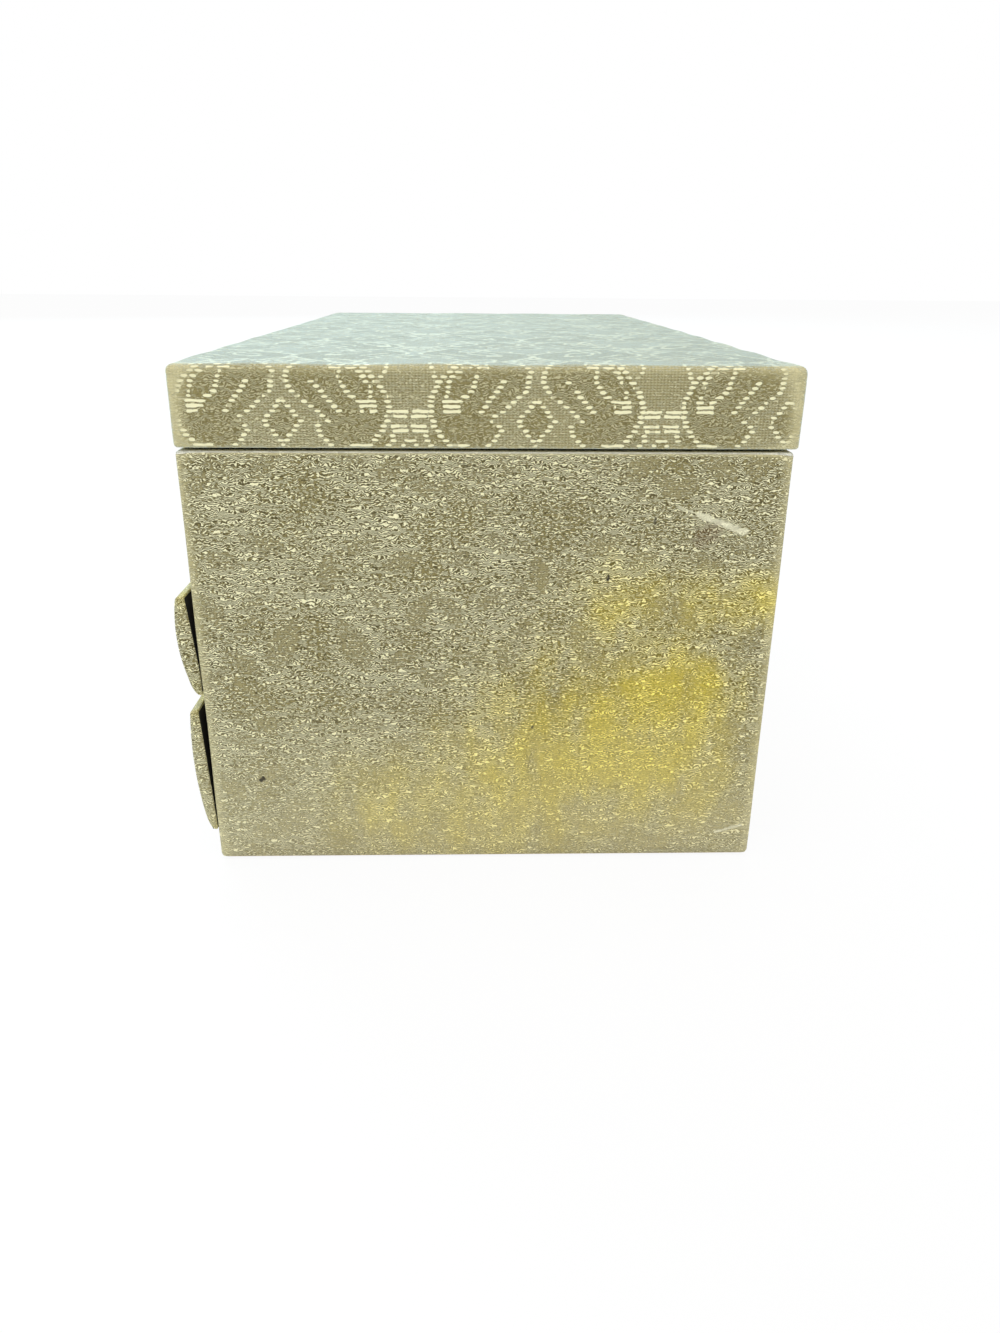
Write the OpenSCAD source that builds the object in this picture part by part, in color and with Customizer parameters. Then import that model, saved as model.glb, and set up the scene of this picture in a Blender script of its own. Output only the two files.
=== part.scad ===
// Brocade-covered jewellery box: a hinged lid over an upper compartment, and two drawers below it.
// +X runs along the box, the drawers open towards -Y, +Z is up.
// The origin is the centre of the body's footprint, on the surface that it stands on. Millimetres.

/* [Body] */
// Length of the body, end to end
body_len = 284; // [220:1:340]
// Depth of the body, front to back
body_depth = 140; // [110:1:180]
// Height of the body, up to the lid
body_h = 107; // [103:1:130]
// Thickness of the wall, floor and shelf boards
board_t = 4.5; // [3.5:0.1:5]
// Thickness of the glued brocade
cloth_t = 0.5; // [0.3:0.1:0.7]
// Radius of the body's upright corners
corner_r = 1.8; // [1.2:0.1:3]
// Thickness of the paper sheet under the base
base_paper_t = 0.6; // [0.4:0.1:1]
// Height of the front rail below the lower drawer
bottom_rail_h = 9.2; // [7.5:0.1:12]
// Width of the strips that the lower drawer runs on
runner_w = 8; // [5:0.5:12]

/* [Lid] */
// Height of the lid at its edges
lid_h = 18.7; // [17:0.1:24]
// Gap between the lid's rim and the body's rim
lid_gap = 0.3; // [0.2:0.05:0.5]
// How far the lid stands out past the body at the back
lid_over_back = 0.9; // [0:0.1:1.5]
// How far the lid stands out past the body at the front
lid_over_front = 0.1; // [0:0.1:1]
// How far the lid stands out past the body at each end
lid_over_end = 0.2; // [0:0.1:1]
// Radius of the lid's upright corners
lid_corner_r = 2.4; // [1.5:0.1:4]
// Radius of the lid's padded top edges
lid_edge_r = 2.8; // [1.5:0.1:4]
// Thickness of the lid's top board
lid_board_t = 4; // [3:0.1:5]
// Thickness of the wadding at the lid's edges
wadding_t = 1.2; // [0.8:0.1:2]

/* [Mirror] */
// Thickness of the mirror glass
mirror_t = 2; // [1.5:0.1:3]
// Width of the padded frame round the mirror
frame_w = 14; // [8:0.5:25]
// How far the frame laps over the mirror's edge
frame_lap = 2; // [1:0.5:4]
// Thickness of the frame in front of the mirror
frame_lip_t = 1.2; // [0.8:0.1:2]

/* [Drawers] */
// Height of the lower drawer's opening and front
lower_front_h = 33.7; // [26:0.1:36]
// Height of the upper drawer's opening and front
upper_front_h = 25.3; // [22:0.1:27]
// Thickness of the drawers' side, back and inner front boards
drawer_t = 3; // [2:0.1:4]
// Thickness of the drawers' bottoms
drawer_bottom_t = 2; // [1.5:0.1:3]
// Gap between a drawer and each side of its opening
drawer_side_gap = 0.7; // [0.4:0.1:1.2]
// Gap between a drawer and what it runs on
drawer_run_gap = 0.3; // [0.2:0.05:0.5]
// Gap above a drawer
drawer_top_gap = 1; // [0.5:0.1:2]
// Gap behind a closed drawer
drawer_back_gap = 3; // [1:0.5:8]

/* [Drawer fronts] */
// How far a front's ends stay short of the body's ends
front_end_inset = 0.4; // [0:0.1:2]
// Gap between the foot of a front and the body
front_seat_gap = 0.2; // [0.15:0.05:0.5]
// Thickness of the card behind a front's padding
card_t = 1.2; // [0.8:0.1:1.4]
// Thickness of the upper front at mid-height, card and padding
upper_front_t = 4; // [3:0.1:5]
// Radius of the upper front's bow
upper_bow_r = 45; // [35:1:120]
// Lean of the upper front, top outwards, in degrees
upper_lean = 5.1; // [0:0.1:6]
// Height above the upper front's foot where it starts to lean
upper_lean_from = 5; // [0:0.5:8]
// Thickness of the lower front at mid-height, card and padding
lower_front_t = 3.4; // [3:0.1:5]
// Radius of the lower front's bow
lower_bow_r = 110; // [70:1:200]
// Lean of the lower front, top outwards, in degrees
lower_lean = 2.7; // [0:0.1:6]
// Height above the lower front's foot where it starts to lean
lower_lean_from = 0; // [0:0.5:8]
// Radius of a front's top edge
front_top_r = 0.9; // [0.5:0.1:1.5]
// Radius of a front's bottom edge
front_foot_r = 2.2; // [1:0.1:2.5]
// Radius of a front's drawn-in ends
front_end_r = 1.4; // [0.8:0.1:2]

/* [Knobs] */
// Radius of a knob's rosette
knob_base_r = 4.6; // [3.5:0.1:7]
// Thickness of a knob's rosette
knob_base_t = 0.9; // [0.6:0.1:1.5]
// Radius of a knob's neck
knob_neck_r = 2.2; // [1.8:0.1:3]
// Length of a knob's neck
knob_neck_len = 3.4; // [2:0.1:6]
// Radius of a knob's ball
knob_ball_r = 4.4; // [3.5:0.1:7]
// Radius of the knob screws
knob_screw_r = 1.2; // [0.9:0.1:1.5]
// Depth of a knob screw's thread inside the knob
knob_thread = 6; // [3:0.5:7]

/* [Lining] */
// Thickness of the satin lining
lining_t = 0.6; // [0.4:0.1:1]
// Thickness of the compartment's floor pad
floor_pad_t = 2; // [1:0.1:4]
// How far the lining stops below the rim
lining_drop = 1; // [0.6:0.1:3]
// Thickness of the partition board
partition_t = 3; // [2:0.1:5]
// How far the partition's top stays below the body's rim
partition_drop = 5.8; // [4:0.1:12]
// Length of the ring compartment
ring_side_len = 85; // [50:1:110]
// Number of ring rolls
roll_count = 8; // [5:1:9]
// How far the ring rolls' tops stay below the body's rim
roll_drop = 10.8; // [7:0.1:15]
// Gap between ring rolls
roll_gap = 0.8; // [0.4:0.1:2]

/* [Hinges] */
// Length of a hinge
hinge_len = 25; // [18:1:35]
// Distance from a hinge's middle to the end of the body
hinge_from_end = 55; // [30:1:80]
// Radius of a hinge's barrel
barrel_r = 1.7; // [1.5:0.1:2.2]
// Radius of a hinge pin
pin_r = 0.8; // [0.6:0.05:0.85]
// Radial clearance of a hinge pin
pin_fit = 0.05; // [0.02:0.01:0.08]
// Thickness of a hinge leaf
leaf_t = 0.9; // [0.7:0.05:1]
// Height of a hinge leaf from the pin's axis
leaf_h = 11; // [9:0.5:13]
// Radius of a hinge leaf's far corners
leaf_corner_r = 2; // [0.5:0.1:3]
// Number of knuckles on a hinge
knuckles = 5; // [3:2:7]
// Gap between knuckles
knuckle_gap = 0.15; // [0.1:0.05:0.3]
// Gap between the barrel and the lid's back
barrel_gap = 0.2; // [0.15:0.05:0.5]
// Radius of the hinge screws
hinge_screw_r = 0.8; // [0.6:0.05:1]
// Length of the hinge screws in the board
hinge_screw_len = 3.5; // [2:0.1:4]

/* [Hidden] */

$fn = 64;

// A tool reaches this far past what it cuts
cut = 1;
// Clearance of a screw in a hole that it passes or bites
screw_fit = 0.05;
// Clearance round the mirror in its frame
mirror_fit = 0.2;
// What a knob screw leaves free at the bottom of its thread
thread_end = 0.5;

brocade_colour = [0.68, 0.64, 0.48];
board_colour = [0.72, 0.62, 0.46];
paper_colour = [0.35, 0.30, 0.24];
lining_colour = [0.52, 0.10, 0.11];
wadding_colour = [0.93, 0.92, 0.88];
brass_colour = [0.78, 0.62, 0.30];
mirror_colour = [0.80, 0.85, 0.88];

half_len = body_len / 2;
half_depth = body_depth / 2;
// Board faces under the brocade
board_x = half_len - cloth_t;
board_y = half_depth - cloth_t;
// Inner faces of the boards
in_x = board_x - board_t;
in_y = board_y - board_t;
rim_board_z = body_h - cloth_t;

// Levels, from the base up
base_top = base_paper_t + board_t;
lower_z0 = bottom_rail_h;
lower_z1 = lower_z0 + lower_front_h;
upper_z0 = lower_z1 + board_t;
upper_z1 = upper_z0 + upper_front_h;
floor_top = upper_z1 + board_t;
pad_top = floor_top + floor_pad_t;

// Lid
lid_z0 = body_h + lid_gap;
lid_z1 = lid_z0 + lid_h;
lid_len = body_len + 2 * lid_over_end;
lid_depth = body_depth + lid_over_front + lid_over_back;
lid_y = (lid_over_back - lid_over_front) / 2;
lid_board_z1 = lid_z1 - cloth_t - wadding_t;
lid_board_z0 = lid_board_z1 - lid_board_t;
lid_wall_z0 = lid_z0 + cloth_t;
lid_in_x = lid_len / 2 - cloth_t - board_t;
lid_in_y = lid_depth / 2 - cloth_t - board_t;
frame_x = lid_in_x - lining_t;
frame_y = lid_in_y - lining_t;
mirror_x = frame_x - frame_w + frame_lap;
mirror_y = frame_y - frame_w + frame_lap;

// Drawers
drawer_x = in_x - drawer_side_gap;
drawer_y1 = in_y - drawer_back_gap;
front_y = half_depth + front_seat_gap;
front_len = body_len - 2 * front_end_inset;
drawer_in_x = drawer_x - drawer_t;
// Opening level, height, thickness, bow radius, lean, and where the lean starts
UPPER = [upper_z0, upper_front_h, upper_front_t, upper_bow_r, upper_lean, upper_lean_from];
LOWER = [lower_z0, lower_front_h, lower_front_t, lower_bow_r, lower_lean, lower_lean_from];
knob_hole_r = knob_screw_r + 0.3;
knob_ball_sink = 0.75 * knob_ball_r;
lining_x = in_x - lining_t;
lining_y = in_y - lining_t;

// Ring compartment, at the left end
partition_x = -lining_x + ring_side_len;
partition_h = body_h - partition_drop - pad_top;
roll_h = body_h - roll_drop - pad_top;
roll_w = (2 * lining_y - (roll_count + 1) * roll_gap) / roll_count;
roll_len = ring_side_len - 2 * roll_gap;

// Hinge axis, just outside the lid's back
axis_y = half_depth + lid_over_back + barrel_gap + barrel_r;
axis_z = body_h + lid_gap / 2;
lid_back_y = half_depth + lid_over_back;
knuckle_pitch = hinge_len / knuckles;
leaf_clear = barrel_r + 0.5;
screw_drop = (leaf_h + leaf_clear) / 2;
screw_spread = hinge_len / 2 - 4;
screw_head_r = 1.9 * hinge_screw_r;
screw_head_t = 0.7 * hinge_screw_r;
pin_head_r = 1.6 * pin_r;
pin_head_t = pin_r;

// Straight-edged block between two corners
module block(low, high) {
    translate(low) cube(high - low);
}

// Rectangle about the origin with round corners
module round_plan(width, depth, r) {
    square([width - 2 * r, depth], center = true);
    square([width, depth - 2 * r], center = true);
    for (sx = [-1, 1], sy = [-1, 1])
        translate([sx * (width / 2 - r), sy * (depth / 2 - r)]) circle(r);
}

// Where a round edge of radius r meets a bow tangentially: height of its centre, and distance from the middle
function edge_centre(w, t, bow, r) = t - bow + sqrt(pow(bow - r, 2) - pow(w / 2 - r, 2));
function edge_reach(w, bow, r) = (w / 2 - r) * bow / (bow - r);

// Strip of width w with a flat base on the x axis and a bowed face, t high at its middle.
// The ends of the bow are rounded to r0 and r1.
module bowed_profile(w, t, bow, r0, r1) {
    y0 = edge_centre(w, t, bow, r0);
    y1 = edge_centre(w, t, bow, r1);
    reach0 = edge_reach(w, bow, r0);
    reach1 = edge_reach(w, bow, r1);
    intersection() {
        translate([w / 2, t - bow]) circle(bow, $fn = ceil(40 * sqrt(bow)));
        translate([w / 2 - reach0, 0]) square([reach0 + reach1, t + cut]);
    }
    square([w / 2, y0]);
    translate([w / 2, 0]) square([w / 2, y1]);
    translate([r0, y0]) circle(r0);
    translate([w - r1, y1]) circle(r1);
}

// Body outline set in by d, between two levels
module body_prism(d, z0, z1) {
    translate([0, 0, z0])
        linear_extrude(z1 - z0) round_plan(body_len - 2 * d, body_depth - 2 * d, corner_r - d);
}

// Pilot or clearance holes for the screws of both hinges; side is -1 for the body and 1 for the lid
module hinge_screw_places(side) {
    for (hx = [-1, 1], sx = [-1, 1])
        translate([hx * (half_len - hinge_from_end) + sx * screw_spread, 0, axis_z + side * screw_drop])
            children();
}

module hinge_screw_holes(side, r) {
    hinge_screw_places(side)
        translate([0, in_y - cut, 0]) rotate([-90, 0, 0]) cylinder(h = axis_y - in_y + 2 * cut, r = r);
}

module base_paper() {
    inset = corner_r;
    color(paper_colour)
        block([inset - half_len, inset - half_depth, 0], [half_len - inset, half_depth - inset, base_paper_t]);
}

module base_board() {
    color(board_colour) block([-in_x, -board_y, base_paper_t], [in_x, in_y, base_top]);
}

module bottom_rail() {
    color(board_colour) block([-in_x, -board_y, base_top], [in_x, -in_y, lower_z0]);
}

module lower_drawer_runners() {
    color(board_colour)
        for (side = [-1, 1])
            translate([side * (in_x - runner_w / 2), 0, 0])
                block([-runner_w / 2, -in_y, base_top], [runner_w / 2, in_y, lower_z0]);
}

module end_board(side) {
    color(board_colour) intersection() {
        body_prism(cloth_t, base_paper_t, rim_board_z);
        translate([side * (in_x + half_len) / 2, 0, body_h / 2])
            cube([half_len - in_x, body_depth + cut, body_h + cut], center = true);
    }
}

module back_board() {
    color(board_colour) difference() {
        block([-in_x, in_y, base_paper_t], [in_x, board_y, rim_board_z]);
        hinge_screw_holes(-1, hinge_screw_r + screw_fit);
    }
}

module upper_front_board() {
    color(board_colour) block([-in_x, -board_y, upper_z1], [in_x, -in_y, rim_board_z]);
}

module drawer_shelf() {
    color(board_colour) block([-in_x, -board_y, lower_z1], [in_x, in_y, upper_z0]);
}

module compartment_floor() {
    color(board_colour) block([-in_x, -in_y, upper_z1], [in_x, in_y, floor_top]);
}

// One cloth round all four sides, turned in over the rim, with the two drawer openings cut out
module body_brocade() {
    color(brocade_colour) difference() {
        body_prism(0, base_paper_t, body_h);
        body_prism(cloth_t, -cut, rim_board_z);
        block([-in_x, -in_y, -cut], [in_x, in_y, body_h + cut]);
        block([-in_x, -half_depth - cut, lower_z0], [in_x, 0, lower_z1]);
        block([-in_x, -half_depth - cut, upper_z0], [in_x, 0, upper_z1]);
        hinge_screw_holes(-1, hinge_screw_r + screw_fit);
    }
}

module compartment_lining() {
    color(lining_colour) difference() {
        block([-in_x, -in_y, floor_top], [in_x, in_y, body_h - lining_drop]);
        block([-lining_x, -lining_y, floor_top - cut], [lining_x, lining_y, body_h + cut]);
    }
}

module compartment_pad() {
    color(lining_colour) block([-lining_x, -lining_y, floor_top], [lining_x, lining_y, pad_top]);
}

// Cloth-covered board with a rounded top edge
module partition() {
    r = partition_t / 2;
    color(lining_colour)
        translate([partition_x, lining_y, pad_top]) rotate([90, 0, 0]) linear_extrude(2 * lining_y) {
            square([partition_t, partition_h - r]);
            translate([r, partition_h - r]) circle(r);
        }
}

// Padded rolls with half-round tops; rings stand in the slits between them. A roll that is
// lower than half its width keeps only the upper part of that round.
module ring_rolls() {
    r = roll_w / 2;
    color(lining_colour)
        for (i = [0 : roll_count - 1])
            translate([roll_gap - lining_x, -lining_y + roll_gap + r + i * (roll_w + roll_gap), pad_top])
                rotate([90, 0, 90]) linear_extrude(roll_len) intersection() {
                    union() {
                        if (roll_h > r) translate([-r, 0]) square([roll_w, roll_h - r]);
                        translate([0, roll_h - r]) circle(r);
                    }
                    translate([-roll_w, 0]) square([2 * roll_w, 2 * roll_h]);
                }
}

// Section of the lid set in by d: straight sides and padded, round top edges
module lid_section(width, d) {
    r = lid_edge_r - d;
    half = width / 2 - d;
    translate([-half, lid_z0]) square([2 * half, lid_h - d - r]);
    translate([r - half, lid_z0]) square([2 * (half - r), lid_h - d]);
    for (side = [-1, 1]) translate([side * (half - r), lid_z1 - d - r]) circle(r);
}

// The lid's outer form set in by d
module lid_form(d) {
    translate([0, lid_y, 0]) intersection() {
        translate([0, 0, lid_z0 - cut])
            linear_extrude(lid_h + 3 * cut) round_plan(lid_len - 2 * d, lid_depth - 2 * d, lid_corner_r - d);
        translate([-lid_len / 2, 0, 0])
            rotate([90, 0, 90]) linear_extrude(lid_len) lid_section(lid_depth, d);
        translate([0, lid_depth / 2, 0])
            rotate([90, 0, 0]) linear_extrude(lid_depth) lid_section(lid_len, d);
    }
}

module lid_wall(low, high) {
    color(board_colour) intersection() {
        lid_form(cloth_t);
        translate([0, lid_y, 0]) block([low.x, low.y, lid_wall_z0], [high.x, high.y, lid_board_z0]);
    }
}

module lid_front_wall() {
    lid_wall([-lid_in_x, -lid_depth], [lid_in_x, -lid_in_y]);
}

module lid_back_wall() {
    difference() {
        lid_wall([-lid_in_x, lid_in_y], [lid_in_x, lid_depth]);
        hinge_screw_holes(1, hinge_screw_r + screw_fit);
    }
}

module lid_left_wall() {
    lid_wall([-lid_len, -lid_depth], [-lid_in_x, lid_depth]);
}

module lid_right_wall() {
    lid_wall([lid_in_x, -lid_depth], [lid_len, lid_depth]);
}

module lid_top_board() {
    color(board_colour) intersection() {
        lid_form(cloth_t);
        block([-lid_len, -lid_depth, lid_board_z0], [lid_len, lid_depth, lid_board_z1]);
    }
}

module lid_wadding() {
    color(wadding_colour) intersection() {
        lid_form(cloth_t);
        block([-lid_len, -lid_depth, lid_board_z1], [lid_len, lid_depth, lid_z1 + lid_h]);
    }
}

// Cloth over the wadding and down the walls, turned in under the rim
module lid_brocade() {
    color(brocade_colour) difference() {
        lid_form(0);
        intersection() {
            lid_form(cloth_t);
            block([-lid_len, -lid_depth, lid_wall_z0], [lid_len, lid_depth, lid_z1 + lid_h]);
        }
        translate([0, lid_y, 0]) block([-lid_in_x, -lid_in_y, lid_z0 - cut], [lid_in_x, lid_in_y, lid_wall_z0 + cut]);
        hinge_screw_holes(1, hinge_screw_r + screw_fit);
    }
}

module lid_lining() {
    z0 = lid_z0 + lining_drop;
    color(lining_colour) translate([0, lid_y, 0]) difference() {
        block([-lid_in_x, -lid_in_y, z0], [lid_in_x, lid_in_y, lid_board_z0]);
        block([-frame_x, -frame_y, z0 - cut], [frame_x, frame_y, lid_board_z0 + cut]);
    }
}

module mirror_glass(fit) {
    translate([0, lid_y, 0])
        block([-mirror_x - fit, -mirror_y - fit, lid_board_z0 - mirror_t], [mirror_x + fit, mirror_y + fit, lid_board_z0]);
}

module mirror() {
    color(mirror_colour) mirror_glass(0);
}

// Four padded strips in one ring, rebated over the mirror's edge
module mirror_frame() {
    z0 = lid_board_z0 - mirror_t - frame_lip_t;
    color(lining_colour) difference() {
        translate([0, lid_y, 0]) block([-frame_x, -frame_y, z0], [frame_x, frame_y, lid_board_z0]);
        mirror_glass(mirror_fit);
        translate([0, lid_y, 0])
            block([frame_w - frame_x, frame_w - frame_y, z0 - cut], [frame_x - frame_w, frame_y - frame_w, lid_board_z0]);
    }
}

// Knuckles of one leaf, as children cut to their stretches of the barrel; the body's leaf has the outer ones
module knuckle_stretches(first) {
    for (i = [first : 2 : knuckles - 1])
        translate([-hinge_len / 2 + i * knuckle_pitch + knuckle_gap / 2, 0, 0])
            cube_stretch() children();
}

module cube_stretch() {
    rotate([90, 0, 90]) linear_extrude(knuckle_pitch - knuckle_gap) children();
}

// Plate of a leaf from above its crank to its rounded far corners; side as for the leaf
module leaf_plan(side) {
    r = leaf_corner_r;
    rotate(90 - side * 90) {
        translate([-hinge_len / 2, leaf_clear]) square([hinge_len, leaf_h - leaf_clear - r]);
        translate([r - hinge_len / 2, leaf_clear]) square([hinge_len - 2 * r, leaf_h - leaf_clear]);
        for (end = [-1, 1]) translate([end * (hinge_len / 2 - r), leaf_h - r]) circle(r);
    }
}

// Leaf on a back face that stands at seat_y; side is -1 for the body's leaf and 1 for the lid's
module hinge_leaf(hx, side, seat_y) {
    first = side < 0 ? 0 : 1;
    crank = leaf_clear + leaf_t;
    color(brass_colour) difference() {
        translate([hx, 0, axis_z]) union() {
            translate([0, seat_y + leaf_t, 0]) rotate([90, 0, 0]) linear_extrude(leaf_t) leaf_plan(side);
            block([-hinge_len / 2, seat_y, min(side * leaf_clear, side * crank)],
                  [hinge_len / 2, lid_back_y + leaf_t, max(side * leaf_clear, side * crank)]);
            knuckle_stretches(first) {
                translate([lid_back_y, min(0, side * crank)]) square([leaf_t, crank]);
                difference() {
                    translate([axis_y, 0]) circle(barrel_r);
                    translate([axis_y, 0]) circle(pin_r + pin_fit);
                }
            }
        }
        hinge_screw_holes(side, hinge_screw_r + screw_fit);
    }
}

// Pin with a small round head at each end of the barrel
module hinge_pin(hx) {
    color(brass_colour) translate([hx, axis_y, axis_z]) rotate([0, 90, 0]) {
        cylinder(h = hinge_len + pin_head_t, r = pin_r, center = true);
        for (end = [0, 180])
            rotate([end, 0, 0]) translate([0, 0, hinge_len / 2]) cylinder(h = pin_head_t, r = pin_head_r);
    }
}

// Screw on its seat at z = 0: the shank goes down, the slotted head has a low dome
module slotted_screw(r, length, head_r, head_t) {
    dome = 0.45 * head_t;
    dome_r = (pow(head_r, 2) + pow(dome, 2)) / (2 * dome);
    slot = 0.3 * head_r;
    difference() {
        union() {
            translate([0, 0, -length]) cylinder(h = length + head_t / 2, r = r);
            rotate_extrude() intersection() {
                square([head_r, head_t]);
                translate([0, head_t - dome_r]) circle(dome_r);
            }
        }
        block([-2 * head_r, -slot / 2, head_t / 2], [2 * head_r, slot / 2, 2 * head_t]);
    }
}

module hinge_screws(side, seat_y) {
    color(brass_colour) hinge_screw_places(side)
        translate([0, seat_y + leaf_t, 0]) rotate([-90, 0, 0])
            slotted_screw(hinge_screw_r, hinge_screw_len + leaf_t, screw_head_r, screw_head_t);
}

// What the modules below take as d: opening level, height, thickness, bow, lean and where the lean starts
function open_z(d) = d[0];
function front_h(d) = d[1];
function front_t(d) = d[2];
function bow_r(d) = d[3];
function lean(d) = d[4];
function lean_from(d) = d[5];

// Levels of a drawer's box in its opening
function drawer_z0(d) = open_z(d) + drawer_run_gap;
function drawer_z1(d) = open_z(d) + front_h(d) - drawer_top_gap;

// Things that lean with a drawer front: local -Y is straight out of its face, local Z runs up it
module on_front(d) {
    translate([0, -front_y, open_z(d) + lean_from(d)])
        rotate([lean(d), 0, 0]) translate([0, 0, -lean_from(d)]) children();
}

// Round hole or shank along a front's own axis, at mid-height, from depth y0 to y1
module front_bore(d, r, y0, y1) {
    on_front(d) translate([0, y1, front_h(d) / 2]) rotate([90, 0, 0]) cylinder(h = y1 - y0, r = r);
}

module drawer_inner_front(d) {
    color(board_colour) difference() {
        block([-drawer_x, -front_y, drawer_z0(d)], [drawer_x, drawer_t - front_y, drawer_z1(d)]);
        front_bore(d, knob_hole_r, -2 * drawer_t, 3 * drawer_t);
    }
}

module drawer_side(d, side) {
    color(board_colour)
        translate([side * (drawer_x - drawer_t / 2), 0, 0])
            block([-drawer_t / 2, drawer_t - front_y, drawer_z0(d)], [drawer_t / 2, drawer_y1, drawer_z1(d)]);
}

module drawer_back(d) {
    color(board_colour)
        block([-drawer_in_x, drawer_y1 - drawer_t, drawer_z0(d)], [drawer_in_x, drawer_y1, drawer_z1(d)]);
}

module drawer_bottom(d) {
    color(board_colour)
        block([-drawer_in_x, drawer_t - front_y, drawer_z0(d)],
              [drawer_in_x, drawer_y1 - drawer_t, drawer_z0(d) + drawer_bottom_t]);
}

// Satin over the drawer's floor and walls
module drawer_lining(d) {
    x = drawer_in_x - lining_t;
    y0 = drawer_t - front_y;
    y1 = drawer_y1 - drawer_t;
    z0 = drawer_z0(d) + drawer_bottom_t;
    color(lining_colour) difference() {
        block([-drawer_in_x, y0, z0], [drawer_in_x, y1, drawer_z1(d)]);
        block([-x, y0 + lining_t, z0 + lining_t], [x, y1 - lining_t, drawer_z1(d) + cut]);
        front_bore(d, knob_hole_r, -2 * drawer_t, 3 * drawer_t);
    }
}

// Flat card; below the place where it starts to lean, it lies flat on the drawer
module front_card(d) {
    color(board_colour) difference() {
        on_front(d) block([-front_len / 2, -card_t, 0], [front_len / 2, 0, front_h(d)]);
        block([-body_len, -front_y, 0], [body_len, 0, body_h]);
        front_bore(d, knob_screw_r + screw_fit, -4 * card_t, card_t);
    }
}

// Padded brocade on the card: a bowed face, a fuller foot, a tighter top edge and drawn-in ends
module front_pad(d) {
    t = front_t(d);
    color(brocade_colour) difference() {
        on_front(d) intersection() {
            translate([-front_len / 2, 0, 0]) rotate([90, 0, 90]) linear_extrude(front_len)
                rotate(90) bowed_profile(front_h(d), t, bow_r(d), front_foot_r, front_top_r);
            translate([0, 0, -cut]) linear_extrude(front_h(d) + 2 * cut) round_plan(front_len, 2 * t, front_end_r);
            block([-front_len, -2 * t, -cut], [front_len, -card_t, front_h(d) + cut]);
        }
        block([-body_len, -front_y, 0], [body_len, 0, body_h]);
        front_bore(d, knob_screw_r + screw_fit, -2 * t, card_t);
    }
}

// Turned knob: rosette, waisted neck and ball, with a blind thread
module knob(d) {
    ball_z = knob_base_t + knob_neck_len + knob_ball_sink;
    color(brass_colour) on_front(d)
        translate([0, -front_t(d), front_h(d) / 2]) rotate([90, 0, 0]) difference() {
            rotate_extrude() {
                square([knob_base_r - knob_base_t / 2, knob_base_t]);
                intersection() {
                    translate([knob_base_r - knob_base_t / 2, knob_base_t / 2]) circle(knob_base_t / 2);
                    square(2 * knob_base_r);
                }
                square([(knob_base_r + knob_neck_r) / 2, 1.8 * knob_base_t]);
                square([knob_neck_r, ball_z]);
                intersection() {
                    translate([0, ball_z]) circle(knob_ball_r);
                    square([2 * knob_ball_r, ball_z + knob_ball_sink]);
                }
            }
            translate([0, 0, -cut]) cylinder(h = knob_thread + cut, r = knob_screw_r + screw_fit);
        }
}

// Screw from inside the drawer into the knob; its head clears the upright lining by its own tilt
module knob_screw(d) {
    head_r = 2.2 * knob_screw_r;
    rise = (front_h(d) / 2 - lean_from(d)) * sin(lean(d));
    seat = drawer_t + lining_t + rise + head_r * sin(lean(d)) + screw_fit;
    color(brass_colour) on_front(d) translate([0, seat, front_h(d) / 2]) rotate([-90, 0, 0])
        slotted_screw(knob_screw_r, seat + front_t(d) + knob_thread - thread_end, head_r, knob_screw_r);
}

base_paper();
base_board();
bottom_rail();
lower_drawer_runners();
end_board(-1);  // left_end_board
end_board(1);  // right_end_board
back_board();
upper_front_board();
drawer_shelf();
compartment_floor();
body_brocade();
compartment_lining();
compartment_pad();
partition();
ring_rolls();
hinge_leaf(hinge_from_end - half_len, -1, half_depth);  // left_hinge_body_leaf
hinge_leaf(half_len - hinge_from_end, -1, half_depth);  // right_hinge_body_leaf
hinge_pin(hinge_from_end - half_len);  // left_hinge_pin
hinge_pin(half_len - hinge_from_end);  // right_hinge_pin
hinge_screws(-1, half_depth);  // hinge_body_screws
lid_front_wall();
lid_back_wall();
lid_left_wall();
lid_right_wall();
lid_top_board();
lid_wadding();
lid_brocade();
lid_lining();
mirror();
mirror_frame();
hinge_leaf(hinge_from_end - half_len, 1, lid_back_y);  // left_hinge_lid_leaf
hinge_leaf(half_len - hinge_from_end, 1, lid_back_y);  // right_hinge_lid_leaf
hinge_screws(1, lid_back_y);  // hinge_lid_screws
drawer_inner_front(UPPER);  // upper_drawer_inner_front
drawer_side(UPPER, -1);  // upper_drawer_left_side
drawer_side(UPPER, 1);  // upper_drawer_right_side
drawer_back(UPPER);  // upper_drawer_back
drawer_bottom(UPPER);  // upper_drawer_bottom
drawer_lining(UPPER);  // upper_drawer_lining
front_card(UPPER);  // upper_front_card
front_pad(UPPER);  // upper_front_pad
knob(UPPER);  // upper_knob
knob_screw(UPPER);  // upper_knob_screw
drawer_inner_front(LOWER);  // lower_drawer_inner_front
drawer_side(LOWER, -1);  // lower_drawer_left_side
drawer_side(LOWER, 1);  // lower_drawer_right_side
drawer_back(LOWER);  // lower_drawer_back
drawer_bottom(LOWER);  // lower_drawer_bottom
drawer_lining(LOWER);  // lower_drawer_lining
front_card(LOWER);  // lower_front_card
front_pad(LOWER);  // lower_front_pad
knob(LOWER);  // lower_knob
knob_screw(LOWER);  // lower_knob_screw
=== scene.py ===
import math

import bpy
import numpy as np
from mathutils import Matrix, Vector


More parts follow.
